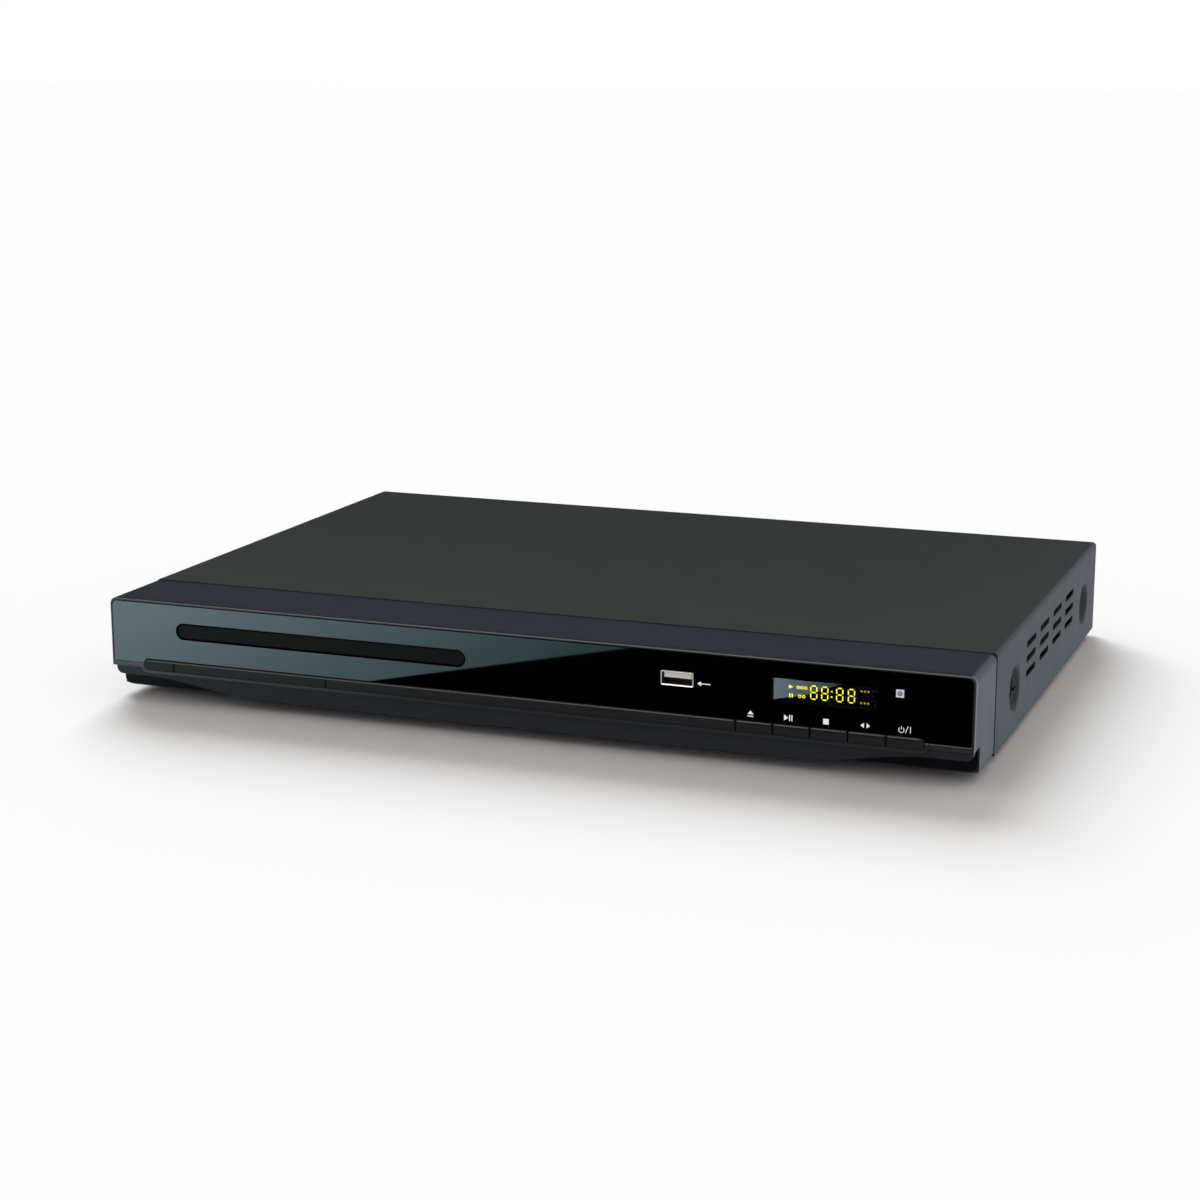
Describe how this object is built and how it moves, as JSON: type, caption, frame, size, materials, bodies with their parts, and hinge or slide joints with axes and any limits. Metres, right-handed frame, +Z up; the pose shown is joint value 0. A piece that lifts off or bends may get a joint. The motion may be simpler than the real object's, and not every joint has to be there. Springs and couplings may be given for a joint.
{
  "type": "dvd player",
  "caption": "Low dark disc player: glossy front with tray slot, data socket, digit display and a row of keys; vented sheet cover, loader and boards inside.",
  "frame": {"origin": "on the surface it stands on, under the middle of its outer box", "axes": "+X to the right as the player is faced, +Y to the back, +Z up"},
  "size_m": [0.36, 0.265, 0.043],
  "materials": {
    "cover_paint": "fine matt dark grey paint on sheet steel",
    "black_screw": "blackened steel",
    "zinc_steel": "zinc-plated sheet",
    "foot_rubber": "matt",
    "bezel_abs": "fine satin moulding",
    "front_acrylic": "polished smoked acrylic",
    "key_abs": "satin moulding",
    "frame_abs": "fine satin moulding",
    "gloss_abs": "polished black moulding",
    "circuit_board": "solder mask",
    "chip_epoxy": "moulded epoxy",
    "capacitor_sleeve": "shrink sleeve",
    "nickel": "bright nickel",
    "socket_plastic": "moulded",
    "ferrite": "ferrite and tape",
    "bare_aluminium": "extruded",
    "ribbon_film": "clear film over tinned strips",
    "loader_abs": "moulded",
    "tray_abs": "fine satin moulding",
    "gear_acetal": "moulded",
    "motor_can": "drawn can",
    "ground_steel": "ground bar",
    "belt_rubber": "matt",
    "pickup_casting": "die casting",
    "lens_plastic": "moulded lens in its holder"
  },
  "bodies": {
    "case": {"top_cover": "cover_paint", "cover_screws": "black_screw", "chassis_pan": "zinc_steel", "rear_panel": "zinc_steel", "clamp_bridge": "zinc_steel", "bezel_screws": "zinc_steel", "inner_screws": "zinc_steel", "foot_front_left": "foot_rubber", "foot_front_right": "foot_rubber", "foot_rear_left": "foot_rubber", "foot_rear_right": "foot_rubber", "front_bezel": "bezel_abs", "front_glass": "front_acrylic", "display_window": "front_acrylic", "button_trim": "key_abs", "front_frame": "frame_abs", "base_strip": "gloss_abs", "front_board": "circuit_board", "main_board": "circuit_board", "power_board": "circuit_board", "main_chips": "chip_epoxy", "key_switches": "chip_epoxy", "ir_receiver": "chip_epoxy", "display_module": "chip_epoxy", "main_capacitors": "capacitor_sleeve", "power_capacitors": "capacitor_sleeve", "usb_shell": "nickel", "hdmi_socket": "nickel", "av_jack_barrels": "nickel", "inlet_pins": "nickel", "usb_tongue": "socket_plastic", "av_jack_block": "socket_plastic", "mains_inlet": "socket_plastic", "transformer": "ferrite", "heat_sink": "bare_aluminium", "ribbon_cables": "ribbon_film", "loader_frame": "loader_abs", "loading_motor": "motor_can", "drive_belt": "belt_rubber", "pivot_bushes": "belt_rubber"},
    "tray": {"disc_tray": "tray_abs", "tray_door": "tray_abs"},
    "tray_gear": {"tray_gear": "gear_acetal"},
    "pulley_gear": {"pulley_gear": "gear_acetal"},
    "motor_pulley": {"motor_pulley": "gear_acetal"},
    "clamper": {"clamper": "loader_abs"},
    "lift_cam": {"lift_cam": "loader_abs"},
    "traverse": {"traverse_frame": "loader_abs", "spindle_motor": "motor_can", "guide_rods": "ground_steel", "feed_motor": "motor_can"},
    "spindle": {"turntable": "loader_abs"},
    "pickup": {"pickup_sled": "pickup_casting"},
    "lens": {"pickup_lens": "lens_plastic"},
    "feed_screw": {"feed_screw": "ground_steel"},
    "eject_key": {"button_eject": "key_abs"},
    "play_key": {"button_play": "key_abs"},
    "stop_key": {"button_stop": "key_abs"},
    "channel_key": {"button_channel": "key_abs"},
    "power_key": {"button_power": "key_abs"}
  },
  "joints": [
    {"name": "tray_slide", "type": "slide", "parent": "case", "child": "tray", "axis": [0, -1, 0], "range_m": [0, 0.13]},
    {"name": "tray_gear_spin", "type": "hinge", "parent": "case", "child": "tray_gear", "pos_m": [-0.044, -0.081, 0.0284], "axis": [0, 0, -1], "range_deg": [0, 828.1]},
    {"name": "pulley_gear_spin", "type": "hinge", "parent": "case", "child": "pulley_gear", "pos_m": [-0.05664, -0.09409, 0.0284], "axis": [0, 0, 1], "range_deg": [0, 2759.2]},
    {"name": "motor_pulley_spin", "type": "hinge", "parent": "case", "child": "motor_pulley", "pos_m": [-0.099, -0.101, 0.0205], "axis": [0, 0, 1], "range_deg": [0, 8608.9]},
    {"name": "clamper_spin", "type": "hinge", "parent": "case", "child": "clamper", "pos_m": [-0.085, -0.061, 0.0367], "axis": [0, 0, 1], "continuous": true},
    {"name": "traverse_lift", "type": "hinge", "parent": "case", "child": "traverse", "pos_m": [-0.085, 0.037, 0.0201], "axis": [-1, 0, 0], "range_deg": [0, 4.1]},
    {"name": "lift_cam_slide", "type": "slide", "parent": "case", "child": "lift_cam", "axis": [-1, 0, 0], "range_m": [0, 0.01021]},
    {"name": "spindle_spin", "type": "hinge", "parent": "traverse", "child": "spindle", "pos_m": [-0.085, -0.0617, 0.02636], "axis": [0, -0.0715, 0.9974], "continuous": true},
    {"name": "pickup_slide", "type": "slide", "parent": "traverse", "child": "pickup", "axis": [0, 0.9974, 0.0715], "range_m": [0, 0.034]},
    {"name": "feed_screw_spin", "type": "hinge", "parent": "traverse", "child": "feed_screw", "pos_m": [-0.113, -0.03654, 0.01102], "axis": [0, 0.9974, 0.0715], "range_deg": [0, 4080.5]},
    {"name": "lens_focus", "type": "slide", "parent": "pickup", "child": "lens", "axis": [0, -0.0715, 0.9974], "range_m": [-0.0003, 0.0003], "stiffness_N_per_m": 40},
    {"name": "eject_press", "type": "slide", "parent": "case", "child": "eject_key", "axis": [0, 1, 0], "range_m": [0, 0.0006], "stiffness_N_per_m": 250, "springref_m": -0.001},
    {"name": "play_press", "type": "slide", "parent": "case", "child": "play_key", "axis": [0, 1, 0], "range_m": [0, 0.0006], "stiffness_N_per_m": 250, "springref_m": -0.001},
    {"name": "stop_press", "type": "slide", "parent": "case", "child": "stop_key", "axis": [0, 1, 0], "range_m": [0, 0.0006], "stiffness_N_per_m": 250, "springref_m": -0.001},
    {"name": "channel_press", "type": "slide", "parent": "case", "child": "channel_key", "axis": [0, 1, 0], "range_m": [0, 0.0006], "stiffness_N_per_m": 250, "springref_m": -0.001},
    {"name": "power_press", "type": "slide", "parent": "case", "child": "power_key", "axis": [0, 1, 0], "range_m": [0, 0.0006], "stiffness_N_per_m": 250, "springref_m": -0.001}
  ],
  "couplings": [
    {"joint": "tray_gear_spin", "follows": "tray_slide", "rad_per_m": 111.11},
    {"joint": "pulley_gear_spin", "follows": "tray_slide", "rad_per_m": 370.37},
    {"joint": "motor_pulley_spin", "follows": "tray_slide", "rad_per_m": 1155.7},
    {"joint": "lift_cam_slide", "follows": "traverse_lift", "m_per_rad": 0.14254},
    {"joint": "feed_screw_spin", "follows": "pickup_slide", "rad_per_m": 2094.4}
  ]
}
